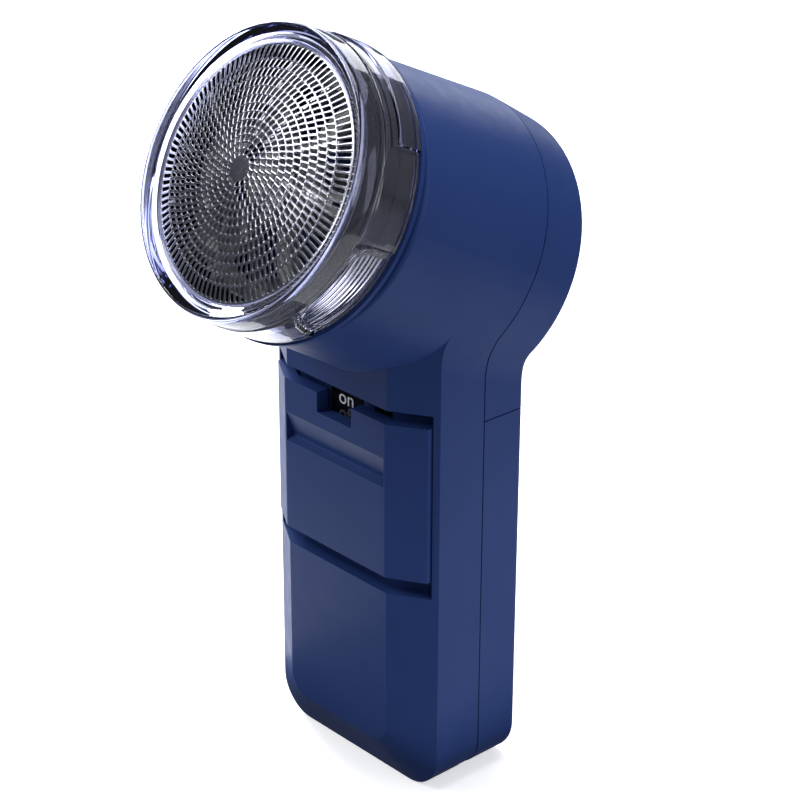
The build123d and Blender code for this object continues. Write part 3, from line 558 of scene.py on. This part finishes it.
def build_ring():
    """Clear frame: side band with grips, shoulder, rounded bead and inner lip."""
    outer = dense_outer()
    profile = np.array(outer + ring_inner) * mm
    radii = profile[:, 0][None, :]
    alongs = profile[:, 1][None, :]
    angles = np.linspace(-math.pi, math.pi, ring_steps, endpoint=False)[:, None]
    is_outer = (np.arange(len(profile)) < len(outer))[None, :]
    on_band = is_outer & (alongs < band_top - frame_back) & (radii > 20.9 * mm)
    radii, alongs, angles, on_band = np.broadcast_arrays(radii, alongs, angles, on_band)
    signed, near = grip_shape(angles, alongs)
    sunk = grip_depth * smooth_step(signed, 0.0, 0.25 * mm)
    ribs = 0.10 * mm * np.cos(alongs / (5.6 * mm) * grip_ribs * 2 * math.pi)
    ribs = ribs * smooth_step(signed, 0.5 * mm, 0.8 * mm)
    rim = rim_height * (1 - smooth_step(near, 0.0, rim_width))
    away = np.abs(angles) * frame_outer - step_angle * frame_outer
    low = smooth_step(away, 0.0, 0.15 * mm)
    above = smooth_step(alongs, step_along - frame_back, step_along - frame_back + 0.2 * mm)
    lowered = step_height * np.maximum(low, above)
    shaped = np.where(on_band, radii - lowered - sunk + ribs + rim, radii)
    vertices = []
    for i in range(ring_steps):
        for j in range(len(profile)):
            vertices.append(head_point(shaped[i, j], angles[i, j], frame_back + alongs[i, j]))
    size = len(profile)
    faces = []
    for i in range(ring_steps):
        for j in range(size):
            k, n = (j + 1) % size, (i + 1) % ring_steps
            faces.append((i * size + j, i * size + k, n * size + k, n * size + j))
    piece = add_piece("clear_frame", vertices, faces, smoke, "foil_frame")
    piece.data.set_sharp_from_angle(angle=math.radians(40))
    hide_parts("foil_frame")


build_ring()

# --- foil retainer: a stepped black sleeve behind the band ----------------------------------
sleeve_profile = [                       # radius and mm from the frame's back
    (17.4, 8.75), (18.4, 8.75), (18.4, 7.0), (18.6, 6.7), (19.5, 6.5), (19.5, 3.0), (17.4, 3.0),
]
sleeve_steps = 240


def build_sleeve():
    """Sleeve that clamps the foil's rim and backs the frame's side band."""
    vertices = [
        head_point(radius * mm, 2 * math.pi * i / sleeve_steps, frame_back + along * mm)
        for i in range(sleeve_steps)
        for radius, along in sleeve_profile
    ]
    size = len(sleeve_profile)
    faces = [
        (i * size + j, i * size + (j + 1) % size,
         (i + 1) % sleeve_steps * size + (j + 1) % size, (i + 1) % sleeve_steps * size + j)
        for i in range(sleeve_steps)
        for j in range(size)
    ]
    piece = add_piece("foil_sleeve", vertices, faces, black_plastic, "foil_frame")
    piece.data.set_sharp_from_angle(angle=math.radians(30))
    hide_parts("foil_retainer")


build_sleeve()

# --- legend -------------------------------------------------------------------------------
sheet_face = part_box("switch_legend")[0].y


def legend(word, height, centre_z, material):
    """Plain raised lettering on the pad behind the switch panel."""
    curve = bpy.data.curves.new(f"legend_{word}", "FONT")
    curve.body = word
    curve.align_x = "CENTER"
    curve.size = height
    curve.extrude = 0.03 * mm
    text = bpy.data.objects.new(f"legend_{word}", curve)
    bpy.context.scene.collection.objects.link(text)
    text.data.materials.append(material)
    text.rotation_euler = (math.pi / 2, 0, 0)
    text.location = (0, sheet_face - 0.03 * mm, centre_z - 0.25 * height)
    bpy.context.view_layer.update()
    mesh = bpy.data.meshes.new_from_object(text)
    mesh.transform(text.matrix_world)
    piece = bpy.data.objects.new(f"legend_{word}", mesh)
    bpy.context.scene.collection.objects.link(piece)
    bpy.data.objects.remove(text)
    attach(piece, "housing")


legend("on", 3.2 * mm, 59.0 * mm, print_white)
# painted shade: off is coloured dark grey for the panel's shadow over it, though its print is white like on
legend("off", 3.2 * mm, 56.5 * mm, print_painted_shade)

# --- stage, light and camera --------------------------------------------------------------
bpy.ops.mesh.primitive_plane_add(size=6)
floor = bpy.context.object
floor.name = "floor"
floor_material, _, floor_shader = new_material("pale_floor", (0.88, 0.88, 0.90), 0.9, specular=0)
floor_shader.inputs["Emission Color"].default_value = (1, 1, 1, 1)
floor_shader.inputs["Emission Strength"].default_value = 0.55
floor.data.materials.append(floor_material)
floor.visible_diffuse = False
floor.visible_glossy = False

bpy.ops.mesh.primitive_uv_sphere_add(radius=2.9, segments=48, ring_count=24)
backdrop = bpy.context.object
backdrop.name = "backdrop"
backdrop_material, _, backdrop_shader = new_material("pale_backdrop", (0.9, 0.9, 0.9), 1, specular=0)
backdrop_shader.inputs["Emission Color"].default_value = (0.97, 0.98, 1, 1)
backdrop_shader.inputs["Emission Strength"].default_value = 1.0
backdrop.data.materials.append(backdrop_material)
backdrop.visible_glossy = False
backdrop.visible_diffuse = False
backdrop.visible_shadow = False

world = bpy.data.worlds.new("studio")
bpy.context.scene.world = world
world.use_nodes = True
world.node_tree.nodes["Background"].inputs["Color"].default_value = (0.85, 0.9, 1.0, 1)
world.node_tree.nodes["Background"].inputs["Strength"].default_value = 0.16


def softbox(name, place, target, size, power, color):
    """Rectangular soft light aimed at a point."""
    data = bpy.data.lights.new(name, "AREA")
    data.shape = "RECTANGLE"
    data.size, data.size_y = size
    data.energy = power
    data.color = color
    light = bpy.data.objects.new(name, data)
    light.location = place
    aim = Vector(target) - Vector(place)
    light.rotation_euler = aim.to_track_quat("-Z", "Y").to_euler()
    light.visible_camera = False
    bpy.context.scene.collection.objects.link(light)


middle = (0, -0.01, 0.06)
head_middle = tuple(head_origin + head_axis * 0.02)
cool = (0.92, 0.94, 1.0)
pale_cool = (0.93, 0.95, 1.0)
top_cool = (0.95, 0.96, 1.0)
white = (1, 1, 1)
softboxes = [                            # name, place, target, size, power, colour
    ("left_box", (-0.60, 0.16, 0.22), middle, (0.3, 0.6), 8, pale_cool),
    ("top_box", (-0.05, 0.10, 0.75), middle, (0.5, 0.4), 4, top_cool),
    ("back_box", (-0.42, 0.62, 0.30), head_middle, (0.45, 0.3), 1.5, cool),
    ("front_box", (-0.38, -0.45, 0.56), head_middle, (0.26, 0.26), 2.0, white),
    ("streak_box", (-0.25, -0.56, 0.33), head_middle, (0.06, 0.12), 0.25, white),
    ("edge_box", (0.40, -0.22, 0.44), head_middle, (0.02, 0.30), 0.22, white),
    ("low_left", (-0.235, 0.075, 0.004), (-0.235, 0.075, 1), (0.42, 0.25), 0.62, pale_cool),
    ("low_front", (0, -0.10, 0.004), (0, -0.10, 1), (0.30, 0.16), 0.05, white),
    ("low_right", (0.09, 0.05, 0.004), (0.09, 0.05, 1), (0.13, 0.14), 0.06, white),
    ("right_box", (0.62, 0.12, 0.30), middle, (0.25, 0.5), 1.3, cool),
]
for box in softboxes:
    softbox(*box)

camera_data = bpy.data.cameras.new("camera")
camera = bpy.data.objects.new("camera", camera_data)
bpy.context.scene.collection.objects.link(camera)
camera_data.sensor_width = 36
camera_data.lens = 103.2
camera_data.clip_start = 0.01
view_right = Vector((0.67298, 0.73965, 0.00471))
view_up = Vector((-0.30941, 0.27573, 0.91008))
view_back = view_right.cross(view_up)
camera.matrix_world = Matrix.Translation((0.2286, -0.2076, 0.1956)) @ Matrix(
    (view_right, view_up, view_back)
).transposed().to_4x4()
bpy.context.scene.camera = camera
bpy.context.scene.view_settings.view_transform = "Standard"
